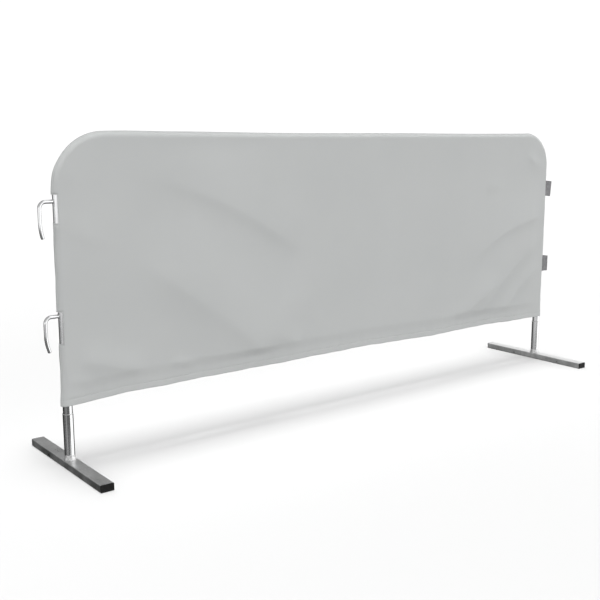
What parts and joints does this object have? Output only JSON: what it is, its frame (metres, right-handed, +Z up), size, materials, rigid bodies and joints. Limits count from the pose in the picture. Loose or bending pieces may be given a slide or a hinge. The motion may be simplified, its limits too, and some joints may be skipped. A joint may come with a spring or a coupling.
{
  "type": "crowd control barrier",
  "caption": "Steel pedestrian barrier with a rounded tube frame, upright infill bars, a fitted cloth cover, interlocking hooks and receivers, and swivelling flat feet.",
  "frame": {"origin": "on the floor under the middle of the barrier, halfway between the two posts and between the ends of the feet", "axes": "+X along the barrier towards the receivers, the hooks are at -X; -Y is the front; +Z up"},
  "size_m": [2.5879, 0.56, 1.1],
  "materials": {
    "zinc_tube": "bright zinc-plated tube",
    "zinc_rod": "bright zinc-plated round rod and fasteners",
    "dark_strap": "dull dark grey flat steel strap",
    "galvanised_foot": "dull mottled galvanised steel",
    "black_cap": "moulded black plastic",
    "cover_cloth": "smooth light grey knitted polyester, matt",
    "tab_webbing": "grey hook-and-loop tape"
  },
  "bodies": {
    "frame": {"frame_hoop": "zinc_tube", "lower_rail": "zinc_tube", "infill_bar_01": "zinc_tube", "infill_bar_02": "zinc_tube", "infill_bar_03": "zinc_tube", "infill_bar_04": "zinc_tube", "infill_bar_05": "zinc_tube", "infill_bar_06": "zinc_tube", "infill_bar_07": "zinc_tube", "infill_bar_08": "zinc_tube", "infill_bar_09": "zinc_tube", "infill_bar_10": "zinc_tube", "infill_bar_11": "zinc_tube", "infill_bar_12": "zinc_tube", "infill_bar_13": "zinc_tube", "infill_bar_14": "zinc_tube", "infill_bar_15": "zinc_tube", "infill_bar_16": "zinc_tube", "infill_bar_17": "zinc_tube", "infill_bar_18": "zinc_tube", "infill_bar_19": "zinc_tube", "upper_hook": "zinc_rod", "lower_hook": "zinc_rod", "upper_receiver": "dark_strap", "lower_receiver": "dark_strap", "cover_front": "cover_cloth", "cover_back": "cover_cloth", "closure_tabs": "tab_webbing"},
    "left_foot": {"left_foot_tube": "galvanised_foot", "left_foot_socket": "zinc_tube", "left_front_cap": "black_cap", "left_rear_cap": "black_cap", "left_lock_nut": "zinc_rod", "left_lock_bolt": "zinc_rod"},
    "right_foot": {"right_foot_tube": "galvanised_foot", "right_foot_socket": "zinc_tube", "right_front_cap": "black_cap", "right_rear_cap": "black_cap", "right_lock_nut": "zinc_rod", "right_lock_bolt": "zinc_rod"}
  },
  "joints": [
    {"name": "left_foot_swivel", "type": "hinge", "parent": "frame", "child": "left_foot", "pos_m": [-1.23, 0, 0.1], "axis": [0, 0, 1], "continuous": true},
    {"name": "right_foot_swivel", "type": "hinge", "parent": "frame", "child": "right_foot", "pos_m": [1.23, 0, 0.1], "axis": [0, 0, 1], "continuous": true}
  ]
}
